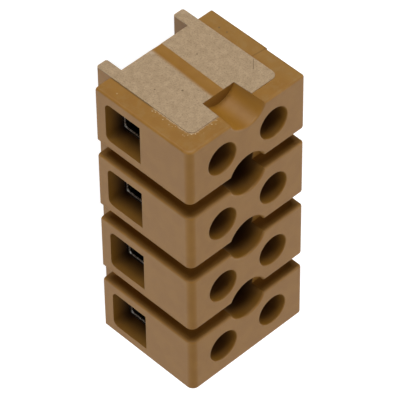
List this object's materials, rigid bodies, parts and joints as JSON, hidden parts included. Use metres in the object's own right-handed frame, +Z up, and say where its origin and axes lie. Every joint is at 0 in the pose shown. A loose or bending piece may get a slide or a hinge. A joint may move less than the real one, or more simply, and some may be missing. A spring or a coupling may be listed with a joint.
{
  "type": "screw terminal block",
  "caption": "Moulded terminal strip: grooved poles on a narrower web, wire tunnels with metal sleeves, clamping screws in deep wells, recessed fixing holes and a sawn end.",
  "frame": {"origin": "middle of the strip's length and width, on the surface that the foot rails stand on", "axes": "+X along the strip towards the sawn end, +Y out of one wire side, +Z up through the screw face"},
  "size_m": [0.0456, 0.021, 0.0201],
  "materials": {
    "moulded_body": "satin ochre-brown moulding, paler where it is sawn",
    "plated_sleeve": "bright plated sheet",
    "screw_steel": "zinc-plated steel",
    "plate_steel": "zinc-plated stamped steel"
  },
  "bodies": {
    "root": {"housing": "moulded_body", "clamp_sleeve_1": "plated_sleeve", "clamp_sleeve_2": "plated_sleeve", "clamp_sleeve_3": "plated_sleeve", "clamp_sleeve_4": "plated_sleeve"},
    "plate_1a": {"pressure_plate_1a": "plate_steel"},
    "screw_1a": {"clamping_screw_1a": "screw_steel"},
    "plate_1b": {"pressure_plate_1b": "plate_steel"},
    "screw_1b": {"clamping_screw_1b": "screw_steel"},
    "plate_2a": {"pressure_plate_2a": "plate_steel"},
    "screw_2a": {"clamping_screw_2a": "screw_steel"},
    "plate_2b": {"pressure_plate_2b": "plate_steel"},
    "screw_2b": {"clamping_screw_2b": "screw_steel"},
    "plate_3a": {"pressure_plate_3a": "plate_steel"},
    "screw_3a": {"clamping_screw_3a": "screw_steel"},
    "plate_3b": {"pressure_plate_3b": "plate_steel"},
    "screw_3b": {"clamping_screw_3b": "screw_steel"},
    "plate_4a": {"pressure_plate_4a": "plate_steel"},
    "screw_4a": {"clamping_screw_4a": "screw_steel"},
    "plate_4b": {"pressure_plate_4b": "plate_steel"},
    "screw_4b": {"clamping_screw_4b": "screw_steel"}
  },
  "joints": [
    {"name": "plate_1a_press", "type": "slide", "parent": "root", "child": "plate_1a", "axis": [0, 0, -1], "range_m": [0, 0.0033]},
    {"name": "screw_1a_turn", "type": "hinge", "parent": "plate_1a", "child": "screw_1a", "pos_m": [-0.01805, 0.00465, 0.015], "axis": [0, 0, -1], "range_deg": [0, 1980]},
    {"name": "plate_1b_press", "type": "slide", "parent": "root", "child": "plate_1b", "axis": [0, 0, -1], "range_m": [0, 0.0033]},
    {"name": "screw_1b_turn", "type": "hinge", "parent": "plate_1b", "child": "screw_1b", "pos_m": [-0.01805, -0.00465, 0.015], "axis": [0, 0, -1], "range_deg": [0, 1980]},
    {"name": "plate_2a_press", "type": "slide", "parent": "root", "child": "plate_2a", "axis": [0, 0, -1], "range_m": [0, 0.0033]},
    {"name": "screw_2a_turn", "type": "hinge", "parent": "plate_2a", "child": "screw_2a", "pos_m": [-0.00605, 0.00465, 0.015], "axis": [0, 0, -1], "range_deg": [0, 1980]},
    {"name": "plate_2b_press", "type": "slide", "parent": "root", "child": "plate_2b", "axis": [0, 0, -1], "range_m": [0, 0.0033]},
    {"name": "screw_2b_turn", "type": "hinge", "parent": "plate_2b", "child": "screw_2b", "pos_m": [-0.00605, -0.00465, 0.015], "axis": [0, 0, -1], "range_deg": [0, 1980]},
    {"name": "plate_3a_press", "type": "slide", "parent": "root", "child": "plate_3a", "axis": [0, 0, -1], "range_m": [0, 0.0033]},
    {"name": "screw_3a_turn", "type": "hinge", "parent": "plate_3a", "child": "screw_3a", "pos_m": [0.00595, 0.00465, 0.015], "axis": [0, 0, -1], "range_deg": [0, 1980]},
    {"name": "plate_3b_press", "type": "slide", "parent": "root", "child": "plate_3b", "axis": [0, 0, -1], "range_m": [0, 0.0033]},
    {"name": "screw_3b_turn", "type": "hinge", "parent": "plate_3b", "child": "screw_3b", "pos_m": [0.00595, -0.00465, 0.015], "axis": [0, 0, -1], "range_deg": [0, 1980]},
    {"name": "plate_4a_press", "type": "slide", "parent": "root", "child": "plate_4a", "axis": [0, 0, -1], "range_m": [0, 0.0033]},
    {"name": "screw_4a_turn", "type": "hinge", "parent": "plate_4a", "child": "screw_4a", "pos_m": [0.01795, 0.00465, 0.015], "axis": [0, 0, -1], "range_deg": [0, 1980]},
    {"name": "plate_4b_press", "type": "slide", "parent": "root", "child": "plate_4b", "axis": [0, 0, -1], "range_m": [0, 0.0033]},
    {"name": "screw_4b_turn", "type": "hinge", "parent": "plate_4b", "child": "screw_4b", "pos_m": [0.01795, -0.00465, 0.015], "axis": [0, 0, -1], "range_deg": [0, 1980]}
  ],
  "couplings": [
    {"joint": "screw_1a_turn", "follows": "plate_1a_press", "rad_per_m": 10472},
    {"joint": "screw_1b_turn", "follows": "plate_1b_press", "rad_per_m": 10472},
    {"joint": "screw_2a_turn", "follows": "plate_2a_press", "rad_per_m": 10472},
    {"joint": "screw_2b_turn", "follows": "plate_2b_press", "rad_per_m": 10472},
    {"joint": "screw_3a_turn", "follows": "plate_3a_press", "rad_per_m": 10472},
    {"joint": "screw_3b_turn", "follows": "plate_3b_press", "rad_per_m": 10472},
    {"joint": "screw_4a_turn", "follows": "plate_4a_press", "rad_per_m": 10472},
    {"joint": "screw_4b_turn", "follows": "plate_4b_press", "rad_per_m": 10472}
  ]
}
